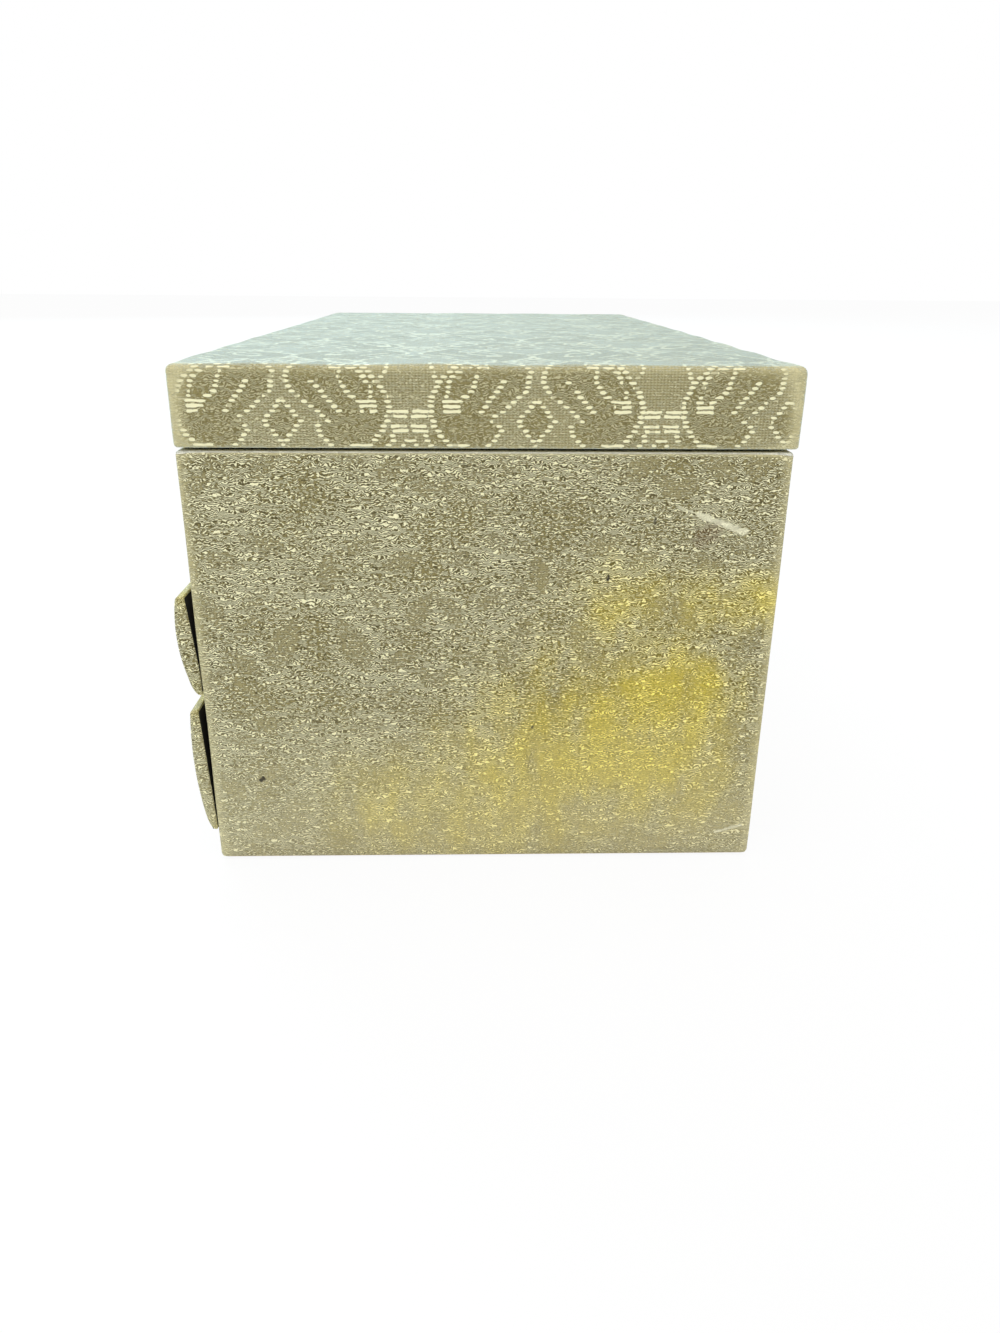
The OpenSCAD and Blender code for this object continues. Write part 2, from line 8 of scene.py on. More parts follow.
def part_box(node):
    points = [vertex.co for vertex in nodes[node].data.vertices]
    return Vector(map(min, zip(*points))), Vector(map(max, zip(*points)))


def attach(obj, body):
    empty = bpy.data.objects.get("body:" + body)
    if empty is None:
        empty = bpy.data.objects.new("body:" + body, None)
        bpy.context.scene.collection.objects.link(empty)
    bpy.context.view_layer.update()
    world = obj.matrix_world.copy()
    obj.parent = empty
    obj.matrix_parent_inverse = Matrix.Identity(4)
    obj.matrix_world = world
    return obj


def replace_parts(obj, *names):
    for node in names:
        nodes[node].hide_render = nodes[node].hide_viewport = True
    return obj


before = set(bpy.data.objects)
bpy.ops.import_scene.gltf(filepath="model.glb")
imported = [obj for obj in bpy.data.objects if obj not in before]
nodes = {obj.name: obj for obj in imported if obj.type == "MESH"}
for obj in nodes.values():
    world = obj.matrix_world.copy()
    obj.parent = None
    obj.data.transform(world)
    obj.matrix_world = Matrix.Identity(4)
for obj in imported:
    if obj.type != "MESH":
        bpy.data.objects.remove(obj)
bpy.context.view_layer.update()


# Boards
# The box, its lid and its drawers are glued up from thin boards of a pale, close-grained wood.
# They are left bare, because cloth hides them; only the drawers' outsides and edges show.
# The CAD solids have the right form, so they only get their wood.

def ink(red, green, blue):
    """A display colour of 0 to 255 as linear light: below 10 a straight line, above it the 2.4 power curve."""
    part = np.array([red, green, blue]) / 255
    return (*np.where(part <= 0.04045, part / 12.92, ((part + 0.055) / 1.055) ** 2.4).tolist(), 1.0)


class Number:
    """A number that a shader works out at each point, so that a pattern can be written as a formula."""

    def __init__(self, socket):
        self.socket, self.tree = socket, socket.id_data

    def work(self, operation, *others, **settings):
        step = self.tree.nodes.new("ShaderNodeMath")
        step.operation = operation
        for place, value in enumerate((self, *others)):
            feed(step.inputs[place], value)
        return Number(step.outputs[0])

    def __add__(self, other): return self.work("ADD", other)
    def __sub__(self, other): return self.work("SUBTRACT", other)
    def __mul__(self, other): return self.work("MULTIPLY", other)
    def __truediv__(self, other): return self.work("DIVIDE", other)
    def __abs__(self): return self.work("ABSOLUTE")
    def most(self, other): return self.work("MAXIMUM", other)
    def least(self, other): return self.work("MINIMUM", other)
    def less_from(self, whole): return self.work("MULTIPLY", -1.0) + whole

    def rise(self, low, high):
        """0 below low, 1 above high, an S-curve between them."""
        step = self.tree.nodes.new("ShaderNodeMapRange")
        step.interpolation_type = "SMOOTHSTEP"
        feed(step.inputs["Value"], self)
        feed(step.inputs["From Min"], low)
        feed(step.inputs["From Max"], high)
        return Number(step.outputs["Result"])

    def fall(self, low, high):
        """1 below low, 0 above high."""
        return self.rise(low, high).less_from(1.0)


def feed(socket, value):
    """Sets a socket to a plain value, or joins it to another socket or Number."""
    if isinstance(value, Number):
        value = value.socket
    if isinstance(value, bpy.types.NodeSocket):
        socket.id_data.links.new(value, socket)
    else:
        socket.default_value = value


def add(tree, kind, settings=(), **inputs):
    """A new node with its settings made and its inputs fed."""
    node = tree.nodes.new("ShaderNode" + kind)
    for name, value in dict(settings).items():
        setattr(node, name, value)
    for name, value in inputs.items():
        feed(node.inputs[name.replace("_", " ")], value)
    return node


def finish_named(name):
    """A new material: its tree and its Principled shader."""
    finish = bpy.data.materials.new(name)
    finish.use_nodes = True
    return finish, finish.node_tree, finish.node_tree.nodes["Principled BSDF"]


def dye(tree, share, first, second):
    """Colour that goes from first to second as share goes from 0 to 1."""
    mix = tree.nodes.new("ShaderNodeMix")
    mix.data_type = "RGBA"
    feed(mix.inputs[0], share)
    feed(mix.inputs[6], first)
    feed(mix.inputs[7], second)
    return mix.outputs[2]


def relief(tree, shader, height, depth, strength=1.0):
    """Raises the surface by height times depth, in metres."""
    bump = add(tree, "Bump", Height=height, Distance=depth, Strength=strength)
    feed(shader.inputs["Normal"], bump.outputs["Normal"])


def noise(tree, where, scale, stretch=(1, 1, 1), detail=3.0):
    """Cloudy noise over where, drawn out along the axes by stretch."""
    turned = add(tree, "Mapping", Vector=where, Scale=[scale / s for s in stretch])
    return Number(add(tree, "TexNoise", Vector=turned.outputs[0], Scale=1.0, Detail=detail).outputs[0])


def wood(name, grain):
    """Pale wood: long dark and light streaks along the grain, and fine pores in the streaks."""
    finish, tree, shader = finish_named(name)
    place = add(tree, "TexCoord").outputs["Object"]
    streaks = noise(tree, place, 260, grain, 4.0)
    pores = noise(tree, place, 1900, grain, 2.0)
    rings = (streaks * 9.0).work("SINE") * 0.5 + 0.5
    pale = dye(tree, rings, ink(196, 165, 122), ink(222, 196, 155))
    feed(shader.inputs["Base Color"], dye(tree, pores.rise(0.56, 0.72), pale, ink(158, 124, 84)))
    feed(shader.inputs["Roughness"], pores * 0.25 + 0.5)
    relief(tree, shader, streaks + pores * 0.5, 0.0002)
    return finish


def dress(finish, *names):
    """Puts a material on CAD nodes."""
    for name in names:
        slots = nodes[name].material_slots
        for place in slots:
            place.material = finish


wood_lengthways = wood("wood_lengthways", (14, 1, 1))
wood_crossways = wood("wood_crossways", (1, 14, 1))
dress(wood_lengthways, "base_board", "bottom_rail", "back_board", "upper_front_board", "drawer_shelf",
      "compartment_floor", "lid_front_wall", "lid_back_wall", "lid_top_board")
dress(wood_crossways, "lower_drawer_runners", "left_end_board", "right_end_board", "lid_left_wall", "lid_right_wall")
for drawer in ("upper_drawer", "lower_drawer"):
    dress(wood_lengthways, drawer + "_inner_front", drawer + "_back", drawer + "_bottom")
    dress(wood_crossways, drawer + "_left_side", drawer + "_right_side")


# Paper under the base
# A sheet of thin, dark brown craft paper, pasted on to cover the cloth's turned-in edges.
# Long fibres lie in it in every direction, and it is scuffed paler where it slides on the table.

paper, tree, shader = finish_named("base_paper")
place = add(tree, "TexCoord").outputs["Object"]
fibres = noise(tree, place, 900, (5, 1, 1)).most(noise(tree, place, 900, (1, 5, 1)))
scuffs = noise(tree, place, 60, (3, 1, 1), 5.0).rise(0.52, 0.75)
brown = dye(tree, fibres.rise(0.5, 0.75), ink(62, 49, 38), ink(92, 76, 60))
feed(shader.inputs["Base Color"], dye(tree, scuffs * 0.5, brown, ink(128, 112, 92)))
feed(shader.inputs["Roughness"], fibres * 0.2 + 0.7)
relief(tree, shader, fibres, 0.0001)
dress(paper, "base_paper")


# Brocade round the body
# One strip of silk brocade, glued round the four sides. It turns in over the rim and under the base,
# and its edges are cut out for the two drawers. Old glue and damp have stained the right-hand end yellow.
# The cloth is a fine satin with raised weft floats: cream flecks that thin out inside leaf-shaped figures.

CORNER_STEPS = 6
cloth = 0.0005


def outline(half_x, half_y, r, outset, stops_x, stops_y):
    """Points round a rectangle with round corners, moved out by outset: straight runs at the given stops,
    which are shares of the half length, then a quarter circle of radius r + outset at each corner.
    It starts on the left side at the back and goes round by the front. Gives points, outward directions,
    the run along the edge, and the number of the side, with halves at corners."""
    radius = max(r + outset, 0.0003)
    far_x, far_y = half_x + outset - radius, half_y + outset - radius
    points, normals, runs, sides = [], [], [], []
    start = 0.0
    for side, (normal, stops) in enumerate((((-1, 0), stops_y), ((0, -1), stops_x), ((1, 0), stops_y), ((0, 1), stops_x))):
        normal = np.array(normal, float)
        tangent = np.array([-normal[1], normal[0]])
        reach, out = (far_y, far_x) if normal[0] else (far_x, far_y)
        full = (half_y if normal[0] else half_x) - r
        turn = np.linspace(0, math.pi / 2, CORNER_STEPS + 1)[1:-1, None]
        round_normals = normal * np.cos(turn) + tangent * np.sin(turn)
        points += [normal * (out + radius) + tangent * (stops[:, None] * reach), normal * out + tangent * reach + radius * round_normals]
        normals += [np.repeat(normal[None], len(stops), 0), round_normals]
        runs += [start + full + stops * full, start + 2 * full + r * turn[:, 0]]
        sides += [np.full(len(stops), side, float), side + turn[:, 0] / (math.pi / 2)]
        start += 2 * full + r * math.pi / 2
    return np.vstack(points), np.vstack(normals), np.concatenate(runs), np.concatenate(sides)


def bend(start, out, up, radius, first, last, steps):
    """Quarter or part turn in a profile: points at radius from the centre (out, up), between two angles in degrees."""
    angle = np.radians(np.linspace(first, last, steps))
    return start + [(out + radius * c, up + radius * s) for c, s in zip(np.cos(angle), np.sin(angle))]


def run_of(line):
    """Distance along a line of points, from its first."""
    return np.concatenate([[0], np.cumsum(np.linalg.norm(np.diff(line, axis=0), axis=1))])


def skin(name, points, quads, weave, smooth=True, finish=None, body=None, slot=None):
    """A mesh from points and faces of 4 corners, or 3 where the last two agree, with the cloth's own
    coordinates in metres on the corners of each face."""
    mesh = bpy.data.meshes.new(name)
    threes = quads[:, 2] == quads[:, 3]
    order = np.concatenate([np.nonzero(~threes)[0], np.nonzero(threes)[0]])
    sizes = np.where(threes[order], 3, 4)
    corners = np.concatenate([quads[~threes].ravel(), quads[threes][:, :3].ravel()])
    places = np.concatenate([weave[~threes].reshape(-1, 2), weave[threes][:, :3].reshape(-1, 2)])
    mesh.vertices.add(len(points))
    mesh.vertices.foreach_set("co", points.astype(np.float32).ravel())
    mesh.loops.add(len(corners))
    mesh.loops.foreach_set("vertex_index", corners.astype(np.int32))
    mesh.polygons.add(len(sizes))
    mesh.polygons.foreach_set("loop_start", np.concatenate([[0], np.cumsum(sizes)[:-1]]).astype(np.int32))
    mesh.update(calc_edges=True)
    mesh.uv_layers.new(name="weave").data.foreach_set("uv", places.astype(np.float32).ravel())
    mesh.polygons.foreach_set("use_smooth", np.full(len(sizes), smooth))
    mesh.validate()
    mesh.update()
    piece = bpy.data.objects.new(name, mesh)
    bpy.context.scene.collection.objects.link(piece)
    if finish:
        mesh.materials.append(finish)
    if body:
        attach(piece, body)
    return piece


def mark(piece, name, values):
    """Keeps a number for each point of a piece, such as how worn it is, for its material to read."""
    piece.data.attributes.new(name, "FLOAT", "POINT").data.foreach_set("value", values.astype(np.float32))


def shell_faces(rows, columns):
    """Faces of a grid that closes on itself along its columns: point indexes, and indexes that don't wrap."""
    r, c = np.meshgrid(np.arange(rows - 1), np.arange(columns), indexing="ij")
    corner_r, corner_c = np.stack([r, r, r + 1, r + 1], -1), np.stack([c, c + 1, c + 1, c], -1)
    return (corner_r * columns + corner_c % columns).reshape(-1, 4), corner_r.reshape(-1, 4), corner_c.reshape(-1, 4)


def waver(x, y, size):
    """Slow unevenness between -1 and 1, a sum of crossing sine waves about size across."""
    k = 2 * math.pi / size
    return (np.sin(k * x + 1.3) * np.sin(0.83 * k * y + 0.4) + np.sin(0.61 * k * (x + y) + 2.1) * np.sin(0.47 * k * (x - y))) / 2


def pattern(name):
    """A group that draws figures from a place on the cloth: its tree, that place in millimetres, and its two ends."""
    tree = bpy.data.node_groups.new(name, "ShaderNodeTree")
    tree.interface.new_socket("Weave", in_out="INPUT", socket_type="NodeSocketVector")
    for output in ("Floats", "Ground"):
        tree.interface.new_socket(output, in_out="OUTPUT", socket_type="NodeSocketFloat")
    inlet, outlet = tree.nodes.new("NodeGroupInput"), tree.nodes.new("NodeGroupOutput")
    split = add(tree, "SeparateXYZ", Vector=inlet.outputs[0])
    return tree, Number(split.outputs[0]) * 1000.0, Number(split.outputs[1]) * 1000.0, inlet, outlet


def leaf(x, y, at_x, at_y, turn, length, width):
    """A pointed leaf: 1 at its middle and 0 on its edge, (1 - (u / length)^2) - |v| / width in its turned axes."""
    c, s = math.cos(math.radians(turn)), math.sin(math.radians(turn))
    dx, dy = x - at_x, y - at_y
    u, v = dx * c + dy * s, dy * c - dx * s
    return (u * u) * (-1.0 / length ** 2) + 1.0 - abs(v) / width


def ogee_figures(name, repeat, axis, first_row, pitch):
    """The large figures on the lid, in millimetres of cloth. Across the weft the pattern mirrors about
    axes half a repeat apart. Curved hourglass lines, 4.6 + 11.8 (1 - cos) from every second axis, part it
    into ogee fields, set a half drop from each other. Each field holds a spade with a lozenge in it, a
    flower over it, and leaves. A figure's edge is one float in each row, so it looks stepped."""
    tree, along, across, inlet, outlet = pattern(name)
    row = (across / pitch).work("FLOOR")
    height = (row + 0.5) * pitch
    wobble = add(tree, "TexNoise", {"noise_dimensions": "2D"}, Vector=inlet.outputs[0], Scale=420.0, Detail=1.0)
    off_row = abs(across - height + (Number(wobble.outputs[0]) - 0.5) * 0.5)
    shift = Number(add(tree, "TexWhiteNoise", {"noise_dimensions": "1D"}, W=row).outputs["Value"])
    a = (along + shift * 0.5 - axis).work("PINGPONG", repeat / 2)
    b = a.less_from(repeat / 2)
    level = height - first_row
    ogee = ((level - 2.8) * (2 * math.pi / repeat)).work("COSINE").less_from(1.0) * 11.8 + 4.6
    field = (b - ogee).rise(-0.01, 0.01)
    x = a * field + b * field.less_from(1.0)
    y = (level + field.less_from(1.0) * (repeat / 2)).work("WRAP", repeat / 2, -repeat / 2)

    def line(distance, half=0.76):
        """A float on a line: 1 on the line and less beside it, down to 0 at half a float's length."""
        return ((distance / half) * (distance / half)).less_from(1.0).most(0.0)

    def curve(places):
        """A width that follows the height in the figure, through the places given in millimetres."""
        drawn = tree.nodes.new("ShaderNodeFloatCurve")
        handle = drawn.mapping.curves[0]
        while len(handle.points) < len(places):
            handle.points.new(0.5, 0.5)
        for point, (at, width) in zip(handle.points, places):
            point.location = (at / repeat + 0.5, width / 30)
            point.handle_type = "VECTOR"
        drawn.mapping.update()
        feed(drawn.inputs["Value"], y / repeat + 0.5)
        return Number(drawn.outputs[0]) * 30.0

    spade = curve([(-28, 15), (-21, 12), (-12, 13), (-5, 10.6), (-3.6, 8.8), (-1.2, 7.5), (0.3, 10.2), (6.5, 2.5),
                   (8, 1.7), (11, 1.5), (13, 3.2), (20, 7.5), (25, 3), (28, 15)])
    lozenge = abs(y) * (-4.1 / 4.9) + 4.1
    petals = (x.work("ARCTAN2", y - 19.0) * 5.0).work("COSINE")
    ring = (x * x + (y - 19.0) * (y - 19.0)).work("SQRT")
    places = ((16.4, 8.2, -52, 5.6, 2.5), (14.5, -9, 40, 6.5, 2.6), (7.5, -17, -62, 5.5, 2.2), (13.5, 15.5, 58, 4.6, 2.0))
    leaves = [leaf(x, y, *place) for place in places]
    edges = line(b - ogee, 0.84).most(line(x - spade)).most(line(x - lozenge) * y.rise(-5.4, -5.3) * y.fall(5.3, 5.4))
    edges = edges.most(line(ring - petals * 0.9 - 4.4)).most(line(ring - 1.6))
    edges = edges.most(line(x + y * 0.83 - 14.3, 0.8) * y.rise(1.9, 2.0) * y.fall(9.3, 9.4))
    for shape in leaves:
        edges = edges.most(line(shape * 1.9, 0.5))
    bars = abs(x - 19.0).fall(1.7, 2.1) * abs(y - 3.2).fall(1.2, 1.4)
    edges = edges.most(bars).most(abs(x - 2.2).fall(1.6, 1.9) * abs(abs(y) - 26.6).fall(1.3, 1.4))
    broken = Number(add(tree, "TexWhiteNoise", {"noise_dimensions": "2D"}, Vector=add(
        tree, "CombineXYZ", X=(along / 1.3).work("FLOOR"), Y=row).outputs[0]).outputs["Value"])
    uneven = (broken - 0.5) * 0.5
    floats = (edges + uneven * edges - (off_row / (pitch * 0.34)) * (off_row / (pitch * 0.34))).rise(-0.05, 0.3) * broken.rise(0.02, 0.1)
    ground = (spade - x).rise(-0.4, 0.4) * (lozenge - x).fall(-0.3, 0.3) * (ring - petals - 4.4).rise(-0.2, 0.2)
    for shape in leaves[1:]:
        ground = ground.most(shape.rise(0.0, 0.1))
    feed(outlet.inputs[0], floats)
    feed(outlet.inputs[1], ground)
    return tree


def leaf_figures(name, repeat, height):
    """The smaller figures on the body and the fronts, in millimetres of cloth: pointed leaves on a winding
    stem, x = 14 + 9 sin, mirrored about axes half a repeat apart and repeated every height."""
    tree, along, across, inlet, outlet = pattern(name)
    x, y = along.work("PINGPONG", repeat / 2), across.work("WRAP", height, 0.0)
    stem = abs(x - (y * (2 * math.pi / height)).work("SINE") * 9.0 - 14.0)
    places = ((20.9, 36.5, 15, 5.8, 2.6), (8.9, 15, -62, 9.0, 3.9), (18.5, 11, 28, 6.4, 2.7), (24.5, 24, 55, 6.4, 2.7),
              (3.0, 33, 82, 6.0, 2.5), (11.5, 40.5, 18, 6.6, 2.8), (26.0, 7, -40, 5.0, 2.4), (14.5, 27, -35, 5.4, 2.3))
    inside, edge = stem.fall(0.6, 1.5) * 0.8, stem.rise(1.0, 1.5) * stem.fall(1.7, 2.6) * 0.6
    for place in places:
        shape = leaf(x, y, *place)
        inside = inside.most(shape.rise(-0.05, 0.35))
        edge = edge.most(shape.rise(-0.7, -0.3) * shape.fall(-0.1, 0.15))
    feed(outlet.inputs[0], 0.0)
    feed(outlet.inputs[1], inside - edge * 0.9)
    return tree


def use(tree, group, weave):
    """One of the shared node groups, at a point of the cloth."""
    node = tree.nodes.new("ShaderNodeGroup")
    node.node_tree = group
    feed(node.inputs[0], weave)
    return [Number(output) for output in node.outputs]


def strokes(tree, weave, pitch):
    """Weft floats strewn over the ground: lines pitch millimetres apart that wander by up to two pitches.
    Gives the distance from the nearest line, as a share of the pitch, and a noise that breaks the lines."""
    wander = noise(tree, weave, 520, (1.2, 1, 1), 2.0)
    place = Number(add(tree, "SeparateXYZ", Vector=weave).outputs[1]) * (1000 / pitch) + (wander - 0.5) * 7.0
    return abs(place.work("FRACT") - 0.5), noise(tree, weave, 1750, (1.5, 1, 1), 2.0)


ogees = ogee_figures("ogee_figures", 56.4, 11.2, 7.4, 1.06)
leaves = leaf_figures("leaf_figures", 56.4, 47.0)


def marked(tree, place, colour, marks):
    """Scratches, specks and smudges on the end of the box: lines between two places, y and z in
    millimetres, with a width, a strength and a colour. Their edges are ragged."""
    split = add(tree, "SeparateXYZ", Vector=place).outputs
    x, y, z = (Number(split[k]) * 1000.0 for k in range(3))
    ragged = (noise(tree, place, 900, detail=4.0) - 0.5) * 2.6
    for (y0, z0), (y1, z1), width, strength, tone in marks:
        dy, dz = y1 - y0, z1 - z0
        from_y, from_z = y - y0, z - z0
        share = ((from_y * dy + from_z * dz) / (dy * dy + dz * dz)).most(0.0).least(1.0)
        off_y, off_z = from_y - share * dy, from_z - share * dz
        distance = (off_y * off_y + off_z * off_z).work("SQRT")
        on = (distance + ragged * width).fall(width * 0.6, width * 1.4) * x.rise(140.5, 141.0)
        colour = dye(tree, on * strength, colour, tone)
    return colour


def brocade(name, drawn, stroke_share, figure_share, sheen, stained=False, marks=(), shift=(0, 0)):
    """Silk brocade: khaki satin ground, cream strokes and cream floats along the figures' edges, each float
    raised, with painted shade darkening the gaps between rows of strokes. Worn edges are paler and smoother, a painted
    highlight turns the body's rim near white where its mark goes above 1, and stained places go yellow."""
    finish, tree, shader = finish_named(name)
    weave = add(tree, "Mapping", Vector=add(tree, "UVMap", {"uv_map": "weave"}).outputs[0], Location=(*shift, 0)).outputs[0]
    place = add(tree, "TexCoord").outputs["Object"]
    floats, ground = use(tree, drawn, weave)
    wear_and_rim_highlight = Number(add(tree, "Attribute", {"attribute_name": "wear_and_rim_highlight"}).outputs["Fac"])
    floats = floats * wear_and_rim_highlight.fall(0.55, 0.85)
    clouds = noise(tree, weave, 70, detail=2.0)
    warp = noise(tree, weave, 2600, (1, 3, 1), 2.0)
    weft = noise(tree, weave, 2600, (5, 0.7, 1), 2.0)
    off_line, breaks = strokes(tree, weave, 0.47)
    bare = (clouds - 0.5) * 0.35 + ground * 0.062 + 0.41
    ground = ground.most(0.0)
    stroke = off_line.fall(0.16, 0.34) * (breaks - bare).rise(0.0, 0.08)
    gap = off_line.rise(0.3, 0.46) * (breaks - bare).rise(-0.08, 0.02)
    threads = add(tree, "SeparateXYZ", Vector=weave).outputs
    rib = (Number(threads[1]) * (2 * math.pi * 1000 / 0.6)).work("SINE")
    dots = (Number(threads[0]) * (2 * math.pi * 1000 / 0.74) + rib).work("SINE")
    twill = (rib * 0.4 + dots * 0.3 + 0.45) * ground
    satin = dye(tree, warp * 0.65 + clouds * 0.35, ink(98, 88, 46), ink(168, 156, 102))
    satin = dye(tree, twill * 0.62 * figure_share + ground * 0.05, satin, ink(200, 193, 156))
    # Painted shade: the gaps between rows of strokes are darkened for the shadow that falls between the raised floats.
    colour = dye(tree, gap * stroke_share * 0.85, satin, ink(72, 64, 32))
    lift = (stroke * stroke_share * (breaks * 0.6 + 0.7)).least(1.0).most(floats * figure_share)
    colour = dye(tree, lift, colour, ink(254, 248, 204))
    fray = (wear_and_rim_highlight * (weft * 1.2 + 0.35)).rise(0.18, 0.75)
    colour = dye(tree, fray * 0.6, colour, ink(228, 218, 168))
    # Painted highlight: where the mark goes above 1, on the outer rounding of the body's rim, the colour turns near
    # white for the light that rim catches.
    colour = dye(tree, wear_and_rim_highlight.rise(1.0, 1.5) * 0.85, colour, ink(255, 253, 240))
    blot = noise(tree, place, 190, (1, 1, 2), 5.0)
    if stained:
        damp = Number(add(tree, "Attribute", {"attribute_name": "stain"}).outputs["Fac"])
        damp = (damp * (blot * 1.5 + 0.08)).rise(0.04, 1.05)
        tinted = tree.nodes.new("ShaderNodeMix")
        tinted.data_type, tinted.blend_type = "RGBA", "MULTIPLY"
        feed(tinted.inputs[0], damp)
        feed(tinted.inputs[6], colour)
        feed(tinted.inputs[7], (1.34, 1.2, 0.5, 1))
        colour = dye(tree, damp * 0.3, tinted.outputs[2], ink(255, 236, 78))
        dusty = Number(add(tree, "SeparateXYZ", Vector=place).outputs[2]).fall(0.0, 0.055)
        colour = dye(tree, dusty * 0.3, colour, ink(246, 236, 188))
    colour = dye(tree, blot.rise(0.62, 0.8) * 0.2, colour, ink(180, 163, 98))
    if marks:
        colour = marked(tree, place, colour, marks)
    feed(shader.inputs["Base Color"], colour)
    feed(shader.inputs["Roughness"], (lift * -0.14 + 0.62) + blot * 0.08)
    shader.inputs["Specular IOR Level"].default_value = 0.35
    shader.inputs["Sheen Weight"].default_value = sheen
    shader.inputs["Sheen Roughness"].default_value = 0.35
    shader.inputs["Sheen Tint"].default_value = (0.7, 0.92, 1.0, 1)
    relief(tree, shader, lift * 0.9 + warp * 0.35 + weft * 0.35 - gap * stroke_share * 0.4, 0.00032, 0.8)
    return finish


def rows_between(low, high, step):
    return np.linspace(low, high, max(2, round((high - low) / step) + 1))


brocade_low, brocade_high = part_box("body_brocade")
rim_low, rim_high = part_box("compartment_lining")
half_x, half_y, rim = brocade_high[0], brocade_high[1], brocade_high[2]
rail_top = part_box("bottom_rail")[1][2]
shelf_low, shelf_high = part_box("drawer_shelf")
upper_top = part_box("upper_front_board")[0][2]
window_x = shelf_high[0]
turn_in = half_x - window_x

levels = np.unique(np.concatenate([rows_between(0.0016, rail_top, 0.002), rows_between(rail_top, shelf_low[2], 0.002),
                                   rows_between(shelf_low[2], shelf_high[2], 0.002), rows_between(shelf_high[2], upper_top, 0.002),
                                   rows_between(upper_top, rim - 0.0009, 0.002)]).round(6))
profile = [(-0.0030, 0.00045), (-0.0012, 0.0005), (-0.0003, 0.0008)] + [(0.0, z) for z in levels]
profile = bend(profile, -0.0009, rim - 0.0009, 0.0009, 15, 90, 6) + [(-0.0025, rim), (0.0004 - turn_in, rim), (-turn_in, rim - 0.0004), (-turn_in, rim - 0.0011)]
profile = np.array(profile)
straight = half_x - 0.0011
stops_x = np.unique(np.concatenate([rows_between(-1, 1, 0.018), [-window_x / straight, window_x / straight]]).round(6))
stops_y = rows_between(-1, 1, 0.03)
corner_r = 0.0011
rings = [outline(half_x, half_y, corner_r, d, stops_x, stops_y) for d in profile[:, 0]]
plan, away, run, side = (np.stack([ring[k] for ring in rings]) for k in range(4))
ease = np.clip(profile[:, 1] / 0.01, 0, 1) * np.clip((rim - profile[:, 1]) / 0.008, 0, 1)
swell = 0.00012 * waver(run, profile[:, 1][:, None] * 1.0, 0.047) * ease[:, None]
plan = plan + away * swell[..., None]
points = np.concatenate([plan, np.repeat(profile[:, 1][:, None, None], plan.shape[1], 1)], -1).reshape(-1, 3)
quads, row_index, column_index = shell_faces(len(profile), plan.shape[1])
around = np.append(run[0], 2 * run[0][-1] - run[0][-2])
weave = np.stack([around[column_index], run_of(profile)[row_index]], -1)
middle = points[quads].mean(1)
cut = (middle[:, 1] < -half_y + 0.001) & (abs(middle[:, 0]) < window_x) & (
    ((middle[:, 2] > rail_top) & (middle[:, 2] < shelf_low[2])) | ((middle[:, 2] > shelf_high[2]) & (middle[:, 2] < upper_top)))
cream, dark = ink(255, 250, 214), ink(38, 28, 16)
end_marks = (
    ((49.5, 92.6), (60.4, 88.6), 0.75, 0.9, cream), ((44.5, 94.4), (47.5, 93.4), 0.4, 0.6, cream),
    ((60.7, 7.3), (67.2, 9.4), 0.35, 0.8, cream), ((50.6, 87.2), (52.8, 88.4), 2.2, 0.35, ink(104, 66, 44)),
    ((-57.6, 23.7), (-57.0, 24.1), 0.5, 0.9, dark), ((11.5, 38.1), (11.7, 38.5), 0.3, 0.8, dark),
    ((28.8, 77.0), (28.9, 77.9), 0.3, 0.9, dark), ((39.1, 90.8), (39.1, 91.5), 0.4, 0.7, dark))
body_finish = brocade("brocade_of_the_body", leaves, 1.0, 0.6, 0.12, stained=True, marks=end_marks)
body_cover = skin("body_brocade_cover", points, quads[~cut], weave[~cut], finish=body_finish, body="box_body", slot="brocade")
corner_gap = np.minimum(half_x - abs(points[:, 0]), half_y - abs(points[:, 1])) + np.maximum(half_x - abs(points[:, 0]), half_y - abs(points[:, 1]))
wear_and_rim_highlight = np.clip(np.exp(-(corner_gap / 0.0022)) + 0.8 * np.exp(-points[:, 2] / 0.0015), 0, 1)
from_face = np.minimum(half_x - abs(points[:, 0]), half_y - abs(points[:, 1]))
# The term added at the rim lifts the mark above 1 on the rim's outer rounding, which the material paints as a
# near-white highlight.
mark(body_cover, "wear_and_rim_highlight", wear_and_rim_highlight + 1.7 * np.exp(-((rim - points[:, 2]) / 0.0007) ** 2 - (from_face / 0.0012) ** 2))


def blots(y, z, places):
    """Soft round marks on the end of the box: the sum of exp(-(distance / size)^2), in millimetres."""
    return sum(strength * np.exp(-((y * 1000 - at_y) ** 2 + (z * 1000 - at_z) ** 2) / size ** 2) for at_y, at_z, size, strength in places)


damp = blots(points[:, 1], points[:, 2], (
    (39, 36, 13, 1.0), (48, 49, 11, 0.8), (20, 22, 24, 0.5), (-4, 12, 26, 0.45), (-30, 14, 16, 0.42), (32, 73, 12, 0.5),
    (51, 72, 9, 0.5), (67, 72, 8, 0.75), (55, 20, 18, 0.55), (-50, 45, 20, 0.12), (18, 45, 26, 0.36), (60, 48, 14, 0.3)))
elsewhere = 0.25 * np.clip(waver(points[:, 0] + 2 * points[:, 1], points[:, 2], 0.13), 0, 1)
mark(body_cover, "stain", np.clip(np.where(points[:, 0] > half_x - 0.004, damp, elsewhere), 0, 1))
thickness = body_cover.modifiers.new("cloth", "SOLIDIFY")
thickness.thickness, thickness.offset = cloth - 0.00004, -1.0
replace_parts(body_cover, "body_brocade")


# Lining of the compartment
# Deep red satin over thin card, glued round the walls, with a floor pad of the same satin over felt.
# A covered strip of board stands across the compartment and parts off a quarter of it for rings.

